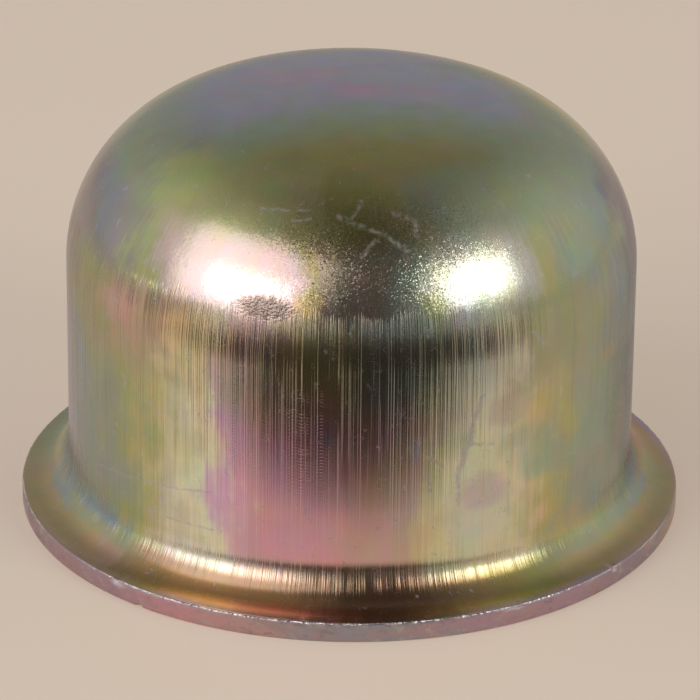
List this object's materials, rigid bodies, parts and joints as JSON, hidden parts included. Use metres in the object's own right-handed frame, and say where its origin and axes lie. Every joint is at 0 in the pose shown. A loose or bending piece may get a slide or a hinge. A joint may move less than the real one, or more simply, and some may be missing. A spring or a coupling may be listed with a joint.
{
  "type": "hub grease cap",
  "caption": "Deep-drawn steel cap with a domed crown, a straight wall and a flanged open mouth; it closes a wheel hub's outer end and keeps the bearing grease in.",
  "frame": {"origin": "centre of the flange's underside, on the drawing axis", "axes": "+Z along the drawing axis, from the open mouth to the crown; the cap is round, so X and Y are alike"},
  "size_m": [0.05, 0.05, 0.0326],
  "materials": {
    "plated_steel": "zinc plating with a yellow passivation, satin, with draw marks up the wall and a rainbow tint"
  },
  "bodies": {
    "root": {"grease_cap": "plated_steel"}
  },
  "joints": []
}
